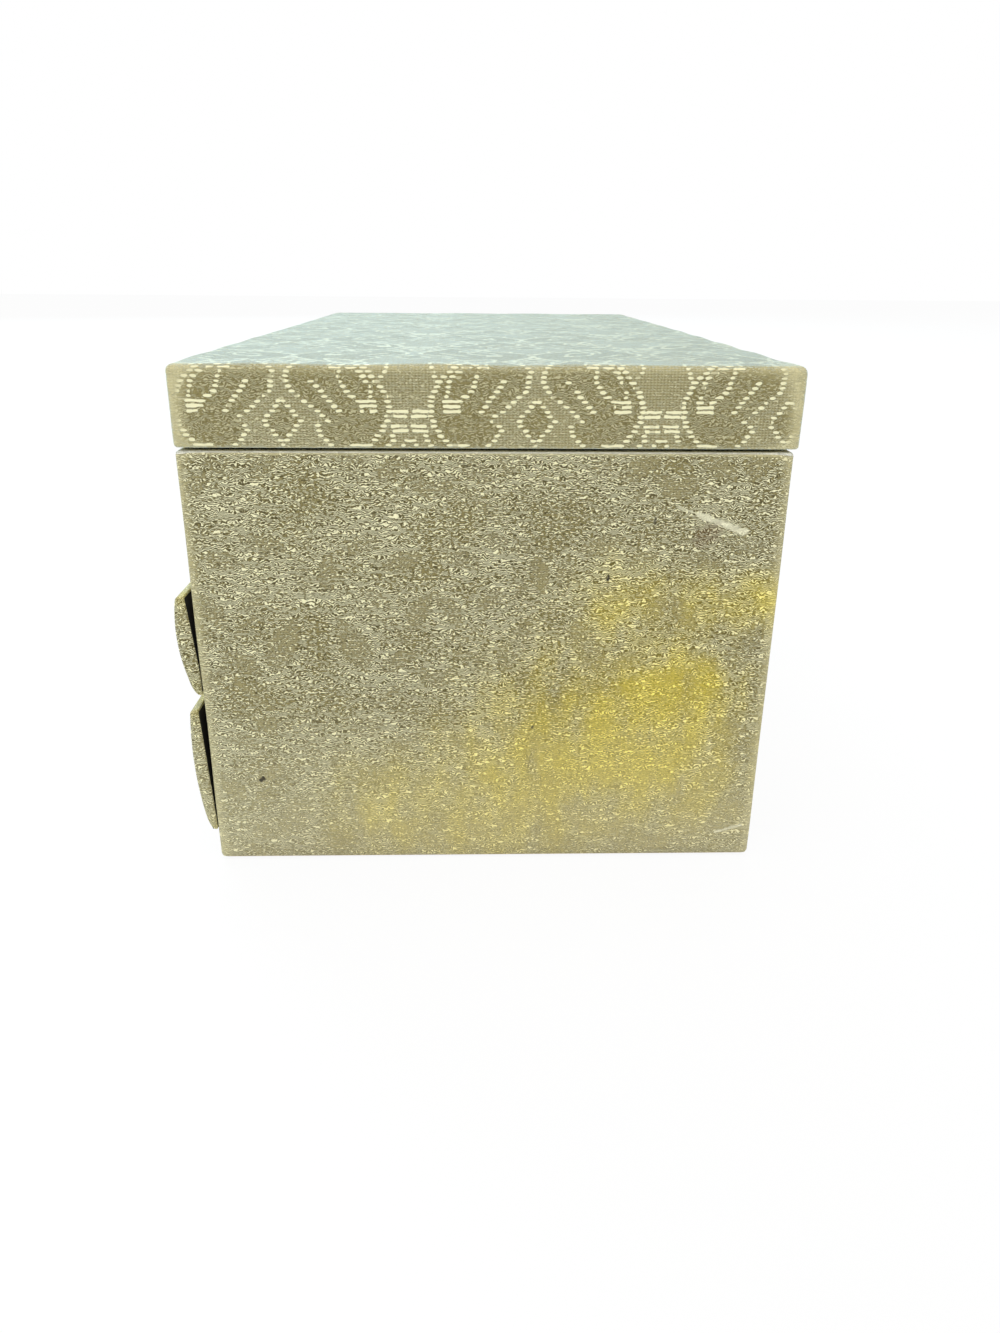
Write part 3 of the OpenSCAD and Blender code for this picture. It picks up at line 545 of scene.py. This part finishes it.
def satin(name, deep, bright):
    """Silk satin: fine warp lines, faint leaves of the same colour, and soft clouds of wear and dust."""
    finish, tree, shader = finish_named(name)
    weave = add(tree, "UVMap", {"uv_map": "weave"}).outputs[0]
    warp = noise(tree, weave, 3200, (0.6, 5, 1), 2.0)
    weft = noise(tree, weave, 3200, (5, 0.6, 1), 2.0)
    clouds = noise(tree, add(tree, "TexCoord").outputs["Object"], 55, detail=5.0)
    figure = use(tree, leaves, weave)[1].most(0.0)
    colour = dye(tree, warp * 0.6 + clouds * 0.25 + figure * 0.35, deep, bright)
    feed(shader.inputs["Base Color"], dye(tree, clouds.rise(0.56, 0.8) * 0.3, colour, ink(140, 64, 58)))
    feed(shader.inputs["Roughness"], warp * 0.12 + clouds * 0.18 - figure * 0.1 + 0.34)
    shader.inputs["Specular IOR Level"].default_value = 0.4
    shader.inputs["Sheen Weight"].default_value = 0.3
    shader.inputs["Sheen Roughness"].default_value = 0.4
    relief(tree, shader, warp + weft, 0.00012, 0.5)
    return finish


def panel(name, half, middle, r, profile, stops, crown=None, cloth_runs="round", settle=None, **fitting):
    """A covered or lined form on a rectangle: a profile of outset and height carried round it, closed by a
    grid over the middle whose height is the profile's last height plus crown(x, y), with x and y from -1 to 1.
    The cloth's own coordinates run round the edge, or the cloth unfolds from the middle, flat or turned."""
    stops_x, stops_y = stops
    profile = np.array(profile, float)
    rings = [outline(*half, r, d, stops_x, stops_y) for d in profile[:, 0]]
    plan, away, run, side = (np.stack([ring[k] for ring in rings]) for k in range(4))
    rows, columns = plan.shape[:2]
    points = np.concatenate([plan, np.repeat(profile[:, 1][:, None, None], columns, 1)], -1).reshape(-1, 3)
    quads, row_index, column_index = shell_faces(rows, columns)
    length = run_of(profile)
    around = np.append(run[0], 2 * run[0][-1] - run[0][-2])
    weave = np.stack([around[column_index], length[row_index]], -1)
    if cloth_runs != "round":
        near = np.floor(np.append(side[0], 4.0)[column_index].mean(1) + 0.5 - 1e-6).astype(int) % 4
        normal = np.array([(-1, 0), (0, -1), (1, 0), (0, 1)], float)[near]
        tangent = np.stack([-normal[:, 1], normal[:, 0]], -1)
        edge = (plan[-1] @ normal.T).max(0)
        widest = plan[np.argmax(profile[:, 0])][column_index % columns]
        along = (widest * tangent[:, None]).sum(-1)
        folded = edge[:, None] + (length[-1] - length)[row_index]
        weave = normal[:, None] * folded[..., None] + tangent[:, None] * along[..., None]
    if crown is not None:
        lip = max(r + profile[-1, 0], 0.0003) + 0.0003
        x, y = np.meshgrid(stops_x, stops_y, indexing="ij")
        index = len(points) + np.arange(x.size).reshape(x.shape)
        flat_x, flat_y = abs(plan[-1]).max(0) - lip
        middle_points = np.stack([x * flat_x, y * flat_y, profile[-1, 1] + crown(x, y)], -1)
        points = np.vstack([points, middle_points.reshape(-1, 3)])
        hold = np.zeros(CORNER_STEPS - 1, int)
        rim_points = np.concatenate([index[0, ::-1], hold + index[0, 0], index[:, 0], hold + index[-1, 0],
                                     index[-1], hold + index[-1, -1], index[::-1, -1], hold + index[0, -1]])
        last = (rows - 1) * columns + np.arange(columns)
        join = np.stack([last, np.roll(last, -1), np.roll(rim_points, -1), rim_points], -1)
        grid = np.stack([index[:-1, :-1], index[1:, :-1], index[1:, 1:], index[:-1, 1:]], -1).reshape(-1, 4)
        closing = np.vstack([join, grid])
        quads = np.vstack([quads, closing])
        weave = np.vstack([weave, points[closing][..., :2]])
    if cloth_runs == "turned":
        weave = weave[..., ::-1] * [1, -1]
    if settle is not None:
        points = settle(points)
    return skin(name, points + np.array([*middle, 0]), quads, weave, **fitting)


def shares(count):
    """Stops along a straight run from -1 to 1, set closer towards its ends."""
    t = np.linspace(-1, 1, count)
    return 0.7 * t + 0.3 * np.sin(t * math.pi / 2)


def box_parts(node):
    """Half lengths and middle of a CAD node's box in plan, and its lowest and highest level."""
    low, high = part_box(node)
    return ((high[0] - low[0]) / 2, (high[1] - low[1]) / 2), ((low[0] + high[0]) / 2, (low[1] + high[1]) / 2), low[2], high[2]


red = satin("red_satin", ink(74, 6, 10), ink(150, 24, 27))
satin_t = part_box("compartment_lining")[1][0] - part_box("compartment_pad")[1][0]


def wall_satin(name, node, glued, free, body):
    """Satin strip round the inside of four walls, from the level where it is glued to its free edge, where
    it turns over in a soft fold and goes back. Its free edge wavers a little."""
    half, middle, low, high = box_parts(node)
    near, far = -0.00005, 0.00005 - satin_t
    turned = (near - far) / 2
    fold = free + (turned if free < glued else -turned)
    if free > glued:
        profile = [(near, glued)] + bend([], (near + far) / 2, fold, turned, 0, 180, 9)
        profile += [(far, z) for z in rows_between(fold - 0.001, glued, 0.003)]
    else:
        profile = [(far, z) for z in rows_between(glued, fold + 0.001, 0.003)]
        profile = bend(profile, (near + far) / 2, fold, turned, 180, 360, 9) + [(near, glued)]

    def uneven(points):
        edge = np.exp(-abs(points[:, 2] - free) / 0.002)
        return points + np.stack([0 * edge, 0 * edge, -0.00015 * edge * (1 + waver(points[:, 0], points[:, 1], 0.03)) * (1 if free > glued else -1)], -1)

    strip = panel(name, half, middle, 0.0008, profile, (shares(90), shares(50)), settle=uneven, finish=red, body=body, slot="lining")
    2 * abs(free - glued)
    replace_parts(strip, node)


def floor_satin(name, node, gap, top, body, puff):
    """Satin over a flat or padded floor: a round upper edge, and a crown of height puff."""
    half, middle, low, high = box_parts(node)
    half = (half[0] - gap, half[1] - gap)
    r = min(0.0007, (top - low) / 2)
    profile = [(-0.0004, low), (0.0, low + 0.0001)] + bend([(0.0, top - r - 0.0001)], -r, top - r, r, 10, 90, 6)
    crown = lambda x, y: puff * (1 - x ** 4) * (1 - y ** 4) * (1 + 0.35 * waver(x * half[0], y * half[1], 0.05))
    return panel(name, half, middle, 0.001, profile, (shares(90), shares(50)), crown, "flat", finish=red, body=body, slot="lining")


pad_half, pad_middle, pad_low, pad_high = box_parts("compartment_pad")
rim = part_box("compartment_lining")[1][2]
wall_satin("compartment_wall_satin", "compartment_lining", pad_high - 0.0005, rim, "box_body")
floor_pad = floor_satin("compartment_floor_pad", "compartment_pad", 0.0001, pad_high - 0.0003, "box_body", 0.0003)
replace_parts(floor_pad, "compartment_pad")

strip_half, strip_middle, strip_low, strip_high = box_parts("partition")
strip_r = strip_half[0] - 0.0002
profile = [(0, z) for z in rows_between(strip_low + 0.0004, strip_high - strip_r, 0.003)]
profile = bend(profile, -strip_r, strip_high - strip_r, strip_r, 12, 88, 6)
partition_cover = panel("partition_cover", strip_half, strip_middle, 0.0003, profile, (shares(3), shares(60)),
                        lambda x, y: 0.00002 * (1 - x ** 2), "flat", finish=red, body="box_body", slot="lining")
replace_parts(partition_cover, "partition")


# Ring rolls
# Rolls of wadding in red satin, glued side by side on the pad, so that rings stand in the slits.
# Each roll's ends are gathered and tucked under, which leaves fine pleats round both ends.

rolls_half, rolls_middle, rolls_low, rolls_high = box_parts("ring_rolls")
roll_count, roll_gap, gathered = 8, 0.0008, 0.0045
roll_width = (2 * rolls_half[1] + roll_gap) / roll_count - roll_gap
roll_height, roll_length = rolls_high - rolls_low, 2 * rolls_half[0]


def ring_roll(number):
    """A stuffed roll: an upright oval with a flat foot in section. Towards each end it draws in along a
    quarter circle, and pleats, cosine waves round the section, deepen up to the end."""
    quarter = gathered * (1 - np.cos(np.linspace(0, math.pi / 2, 9)))
    along = np.concatenate([quarter, np.linspace(1.4 * gathered, roll_length - 1.4 * gathered, 26), roll_length - quarter[::-1]])
    u, t = np.meshgrid(along, np.linspace(0, 2 * math.pi, 72, endpoint=False), indexing="ij")
    near = np.minimum(u, roll_length - u)
    drawn = 0.35 + 0.65 * np.sqrt(np.clip(1 - (1 - np.minimum(near / gathered, 1)) ** 2, 0, 1))
    pleats = 1 - 0.035 * (1 + np.cos(19 * t + 2.3 * number)) * np.exp(-near / gathered)
    soft = 1 - 0.012 * (1 + waver(u + 0.3 * number, t * 0.01 + 0.013 * number, 0.04))
    reach = drawn * pleats * soft
    y = -roll_width / 2 * np.sin(t) * reach
    z = roll_height * (0.5 + 0.5 * np.cos(t) * reach)
    z = np.where(np.cos(t) < -0.5, np.maximum(roll_height * (0.25 + 0.5 * np.cos(t)) * 0.3, 0) + 0.0001, z)
    left, first = rolls_middle[0] - rolls_half[0], rolls_middle[1] - rolls_half[1] + roll_width / 2
    grid = np.stack([left + u, first + number * (roll_width + roll_gap) + y, rolls_low + z], -1)
    rows, columns = u.shape
    quads, row_index, column_index = shell_faces(rows, columns)
    points = np.vstack([grid.reshape(-1, 3), grid[0].mean(0), grid[-1].mean(0)])
    ring, far = np.arange(columns), (rows - 1) * columns
    tips = np.full(columns, rows * columns)
    caps = np.vstack([np.stack([np.roll(ring, -1), ring, tips, tips], -1),
                      np.stack([far + ring, far + np.roll(ring, -1), tips + 1, tips + 1], -1)])
    around = np.append(t[0], 2 * math.pi) * roll_width / 2
    weave = np.vstack([np.stack([u[:, 0][row_index], around[column_index]], -1), points[caps][..., 1:]])
    roll = skin(f"ring_roll_{number + 1}", points, np.vstack([quads, caps]), weave, finish=red, body="box_body", slot="lining")
    return roll


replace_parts([ring_roll(number) for number in range(roll_count)][0], "ring_rolls")


# Hinges, screws and knobs
# Stamped brass leaves with rolled knuckles, drawn pins and slotted screws, and turned knobs on the drawers.
# All are aged: brown tarnish in clouds over golden metal, with fine drawn or turned lines.

def brass(name, lines):
    """Aged brass: golden metal with brown tarnish in clouds, and fine lines drawn out as lines says."""
    finish, tree, shader = finish_named(name)
    place = add(tree, "TexCoord").outputs["Object"]
    tarnish = noise(tree, place, 420, detail=6.0)
    scratch = noise(tree, place, 5200, lines, 2.0)
    feed(shader.inputs["Base Color"], dye(tree, tarnish.rise(0.48, 0.72), ink(214, 176, 98), ink(140, 98, 48)))
    feed(shader.inputs["Roughness"], tarnish * 0.3 + scratch * 0.15 + 0.1)
    shader.inputs["Metallic"].default_value = 1.0
    relief(tree, shader, scratch + tarnish, 0.00006, 0.5)
    return finish


dress(brass("hinge_brass", (8, 1, 1)), "left_hinge_body_leaf", "right_hinge_body_leaf", "left_hinge_pin", "right_hinge_pin",
      "hinge_body_screws", "left_hinge_lid_leaf", "right_hinge_lid_leaf", "hinge_lid_screws")
dress(brass("knob_brass", (1, 8, 1)), "upper_knob", "lower_knob", "upper_knob_screw", "lower_knob_screw")


# Brocade and wadding of the lid
# One piece of brocade is drawn over wadding on the lid's top, down its four sides and in under its rim.
# The corners are folded to a mitre, which the cover leaves out: its corners are drawn round. The cream floats draw
# lozenges, spades and hourglass lines on its end.

lid_half, lid_middle, lid_low, lid_high = box_parts("lid_brocade")
lid_low += 0.00035
lid_r, edge_r, rim_r = 0.0012, 0.0019, 0.0008
profile = [(-0.0048, lid_low + 0.0007), (-0.0047, lid_low + 0.00005)]
profile = bend(profile + [(-0.0025, lid_low)], -rim_r, lid_low + rim_r, rim_r, -90, 0, 6)
profile += [(0.0, z) for z in rows_between(lid_low + 0.0025, lid_high - edge_r - 0.0006, 0.0012)]
profile = bend(profile, -edge_r, lid_high - edge_r, edge_r, 0, 90, 10)


def sagging(points):
    """Lets the padded top edges rise and sink a little, and the sides belly between board and rim."""
    x, y, z = points.T
    up = np.clip((z - lid_high) / edge_r + 1, 0, 1)
    belly = 0.00014 * waver(x + y, z * 2, 0.05) * np.clip((z - lid_low) / 0.004, 0, 1)
    return points + np.stack([np.sign(x) * belly * (abs(x) > lid_half[0] - 0.001),
                              np.sign(y) * belly * (abs(y) > lid_half[1] - 0.001), -0.0002 * (1 + waver(x, y, 0.034)) * up], -1)


lid_cover = panel("lid_brocade_cover", lid_half, lid_middle, lid_r, profile, (shares(150), shares(80)),
                  lambda x, y: 0.0006 * (1 - abs(x) ** 6) * (1 - y ** 4), "turned", sagging,
                  finish=brocade("brocade_of_the_lid", ogees, 0.4, 1.0, 1.0, shift=(0.0004, -0.008)), body="lid", slot="brocade")
place = np.empty(3 * len(lid_cover.data.vertices))
lid_cover.data.vertices.foreach_get("co", place)
x, y, z = place.reshape(-1, 3).T
gap_x, gap_y, gap_z = lid_half[0] - abs(x), lid_half[1] - abs(y - lid_middle[1]), lid_high - z
wear_and_rim_highlight = 1.2 * np.exp(-(gap_x + gap_y) / 0.003) + 0.75 * np.exp(-(np.minimum(gap_x, gap_y) + gap_z) / 0.0026)
mark(lid_cover, "wear_and_rim_highlight", np.clip(wear_and_rim_highlight + 0.7 * np.exp(-(z - lid_low) / 0.0009), 0, 1))
thickness = lid_cover.modifiers.new("cloth", "SOLIDIFY")
thickness.thickness, thickness.offset = cloth - 0.0001, -1.0
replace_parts(lid_cover, "lid_brocade", "lid_wadding")


# Inside of the lid
# Red satin lines the lid's walls, and a padded satin frame with mitred corners holds the mirror.
# The glass is silvered on its back, and the silver is clouded and lightly spotted with age.

frame_half, frame_middle, frame_low, frame_high = box_parts("mirror_frame")
mirror_half, mirror_middle, mirror_low, mirror_high = box_parts("mirror")
frame_w = 0.014
wall_satin("lid_wall_satin", "lid_lining", frame_high - 0.0005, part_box("lid_lining")[0][2], "lid")
share = np.linspace(0, 1, 15)
glass_edge = mirror_half[0] - frame_half[0] + 0.0001
profile = [(-0.0001, frame_high - 0.0001), (glass_edge, frame_high - 0.0001), (glass_edge, mirror_low - 0.00005), (-frame_w, mirror_low - 0.00005)]
profile += [(-frame_w * (1 - s), frame_low + 0.0011 * abs(2 * s - 1) ** 3.5) for s in share] + [(-0.0001, frame_high - 0.0001)]


def mitred(points):
    """Presses a shallow groove along the four diagonals, where the strips of the frame meet."""
    x, y, z = points.T
    diagonal = (frame_half[0] - abs(x)) - (frame_half[1] - abs(y))
    groove = 0.0007 * np.exp(-(diagonal / 0.0008) ** 2) * (z < mirror_low - 0.0001)
    return points + np.stack([0 * x, 0 * x, groove + 0.0001 * waver(x, y, 0.03) * (z < mirror_low - 0.0003)], -1)


mirror_border = panel("mirror_frame_satin", frame_half, frame_middle, 0.0008, profile, (shares(220), shares(140)),
                      settle=mitred, finish=red, body="lid", slot="lining")
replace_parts(mirror_border, "mirror_frame")

glass, tree, shader = finish_named("mirror_glass")
place = add(tree, "TexCoord").outputs["Object"]
spots = noise(tree, place, 340, detail=5.0).rise(0.68, 0.74)
haze = noise(tree, place, 40, detail=5.0)
feed(shader.inputs["Base Color"], dye(tree, spots * 0.7, ink(226, 230, 228), ink(92, 84, 74)))
feed(shader.inputs["Roughness"], haze * 0.06 + spots * 0.3)
shader.inputs["Metallic"].default_value = 1.0
shader.inputs["Coat Weight"].default_value = 0.4
dress(glass, "mirror")


# Drawers
# Each drawer is a tray of thin boards, lined with red satin. Its front is a card as long as the box, backed
# with near-black paper that paints the shade in the gap behind the leaning front. Brocade is drawn over wadding on the
# card, which leans out a little at the top.

# Near-black paper on the back of each front card: painted shade for the dark wedge between the leaning front and the
# box.
painted_shade_paper, tree, shader = finish_named("painted_shade_paper")
place = add(tree, "TexCoord").outputs["Object"]
fibres = noise(tree, place, 1100, (4, 1, 1)).most(noise(tree, place, 1100, (1, 1, 4)))
feed(shader.inputs["Base Color"], dye(tree, fibres.rise(0.5, 0.8), ink(14, 11, 8), ink(34, 28, 21)))
feed(shader.inputs["Roughness"], fibres * 0.2 + 0.7)
relief(tree, shader, fibres, 0.0001)
dress(painted_shade_paper, "upper_front_card", "lower_front_card")

front_finish = brocade("brocade_of_the_fronts", leaves, 1.0, 0.6, 0.12, stained=True)


def drawer_front(which, opening, tall, thick, bow_r, lean, lean_from):
    """A padded front, made flat as height out of the card over its length and height, then leant. In section
    it is an arc of radius bow_r, thick in the middle, with round edges; the cloth swells round the knob."""
    low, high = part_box(which + "_front_pad")
    half = ((high[0] - low[0]) / 2, tall / 2)
    round_edge = [(0.0002 - 0.0013 * (1 - math.cos(a)), thick * (0.4 + 0.6 * math.sin(a))) for a in np.linspace(0, math.pi / 2, 8)]
    profile = [(-0.0005, -0.0001), (0.0, -0.0001), (0.0002, 0.0002)] + round_edge

    def leant(points):
        x, level, share = points.T / [[1], [1], [thick]]
        bow = thick - bow_r + np.sqrt(bow_r ** 2 - np.clip(level, -half[1], half[1]) ** 2)
        foot = 0.0008 * np.exp(-(level + half[1]) / 0.0012)
        from_knob = np.hypot(x, level)
        swell = 0.00022 * np.exp(-((from_knob - 0.0078) / 0.003) ** 2) - 0.0003 * np.exp(-(from_knob / 0.004) ** 4)
        soft = 0.00016 * waver(x, level * 1.7, 0.041) * np.clip((half[0] - abs(x)) / 0.01, 0, 1)
        out = share * (bow - foot) + (share > 0.9) * (swell + soft)
        rise = level + half[1] - lean_from
        turned = np.where(rise > 0, lean, 0.0)
        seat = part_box(which + "_front_card")[1][1]
        return np.stack([x, np.minimum(seat + 0.0001, seat - out * np.cos(turned) - rise * np.sin(turned)),
                         opening + lean_from - out * np.sin(turned) + rise * np.cos(turned)], -1)

    pad = panel(which + "_front_cover", half, (0, 0), 0.0002, profile, (shares(170), shares(26)),
                lambda x, y: 0 * x, "flat", leant, finish=front_finish, body=which + "_drawer", slot="brocade")
    place = np.empty(3 * len(pad.data.vertices))
    pad.data.vertices.foreach_get("co", place)
    x, y, z = place.reshape(-1, 3).T
    edge = np.minimum(z - low[2], high[2] - z)
    mark(pad, "wear_and_rim_highlight", 0.5 * np.exp(-edge / 0.0010))
    mark(pad, "stain", 0.14 + 0.3 * np.exp(-edge / 0.004))
    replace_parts(pad, which + "_front_pad")


drawer_front("upper", shelf_high[2], 0.0253, 0.0040, 0.045, math.radians(5.1), 0.005)
drawer_front("lower", rail_top, 0.0337, 0.0034, 0.110, math.radians(2.7), 0.0)

for drawer in ("upper_drawer", "lower_drawer"):
    half, middle, low, high = box_parts(drawer + "_lining")
    wall_satin(drawer + "_wall_satin", drawer + "_lining", low + satin_t - 0.0002, high, drawer)
    sheet = floor_satin(drawer + "_floor_satin", drawer + "_lining", satin_t + 0.0001, low + satin_t, drawer, 0.0003)


# Studio
# A plain pale floor that runs out of view, soft light from all round, and a lamp above.
# The camera stands where the photograph's did, worked out from the corners of the end and of the lid.

floor_finish, tree, shader = finish_named("studio_floor")
shader.inputs["Base Color"].default_value = (0.86, 0.86, 0.86, 1)
shader.inputs["Roughness"].default_value = 0.9
rays = add(tree, "LightPath").outputs
seen = Number(rays["Is Camera Ray"]).most(Number(rays["Is Glossy Ray"])).most(Number(rays["Is Transmission Ray"]))
blend = add(tree, "MixShader", Fac=seen * 0.93)
feed(blend.inputs[1], shader.outputs[0])
feed(blend.inputs[2], add(tree, "Emission", Strength=1.0).outputs[0])
feed(tree.nodes["Material Output"].inputs["Surface"], blend.outputs[0])
reach = np.linspace(-6, 6, 9)
floor_x, floor_y = np.meshgrid(reach, reach)
quads, row_index, column_index = shell_faces(9, 9)
flat = (column_index.max(1) < 9)
floor = skin("studio_floor", np.stack([floor_x, floor_y, np.full_like(floor_x, -0.0001)], -1).reshape(-1, 3), quads[flat],
             np.stack([column_index, row_index], -1)[flat] / 9.0, finish=floor_finish)

world = bpy.data.worlds.new("studio")
bpy.context.scene.world = world
world.use_nodes = True
tree = world.node_tree
rays = add(tree, "LightPath").outputs
seen = Number(rays["Is Camera Ray"]).most(Number(rays["Is Glossy Ray"])).most(Number(rays["Is Transmission Ray"]))
background = tree.nodes["Background"]
background.inputs["Color"].default_value = (1, 1, 1, 1)
feed(background.inputs["Strength"], seen * 0.28 + 0.72)

lamp_data = bpy.data.lights.new("lamp_above", "AREA")
lamp_data.shape, lamp_data.size, lamp_data.size_y, lamp_data.energy = "RECTANGLE", 1.2, 1.0, 9.0
lamp = bpy.data.objects.new("lamp_above", lamp_data)
bpy.context.scene.collection.objects.link(lamp)
lamp.location = (0.25, -0.15, 1.3)
lamp.rotation_euler = (-0.1, 0.18, 0)

window_data = bpy.data.lights.new("window_behind", "AREA")
window_data.shape, window_data.size, window_data.size_y, window_data.energy = "RECTANGLE", 2.4, 1.2, 78.0
window_data.color = (0.66, 0.92, 1.0)
window = bpy.data.objects.new("window_behind", window_data)
bpy.context.scene.collection.objects.link(window)
window.location = (-2.4, -0.9, 1.45)
window.rotation_euler = Vector((2.4, 0.9, -1.35)).to_track_quat("-Z", "Y").to_euler()

pitch, yaw, roll = (math.radians(angle) for angle in (22.03, 1.65, 0.47))
ahead, beside, above = (np.array(v) for v in ((-math.cos(yaw), math.sin(yaw), 0), (math.sin(yaw), math.cos(yaw), 0), (0, 0, 1)))
looking = ahead * math.cos(pitch) - above * math.sin(pitch)
upright = ahead * math.sin(pitch) + above * math.cos(pitch)
right = beside * math.cos(roll) + upright * math.sin(roll)
upward = upright * math.cos(roll) - beside * math.sin(roll)
camera_data = bpy.data.cameras.new("camera")
camera_data.sensor_fit, camera_data.sensor_width = "AUTO", 36.0
camera_data.lens = 36.0 * 975 / 1333
camera_data.clip_start, camera_data.clip_end = 0.005, 50
camera = bpy.data.objects.new("camera", camera_data)
bpy.context.scene.collection.objects.link(camera)
camera.matrix_world = Matrix([(right[k], upward[k], -looking[k], place) for k, place in enumerate((0.3638, -0.0031, 0.1446))] + [(0, 0, 0, 1)])
bpy.context.scene.camera = camera
bpy.context.scene.view_settings.view_transform = "Standard"
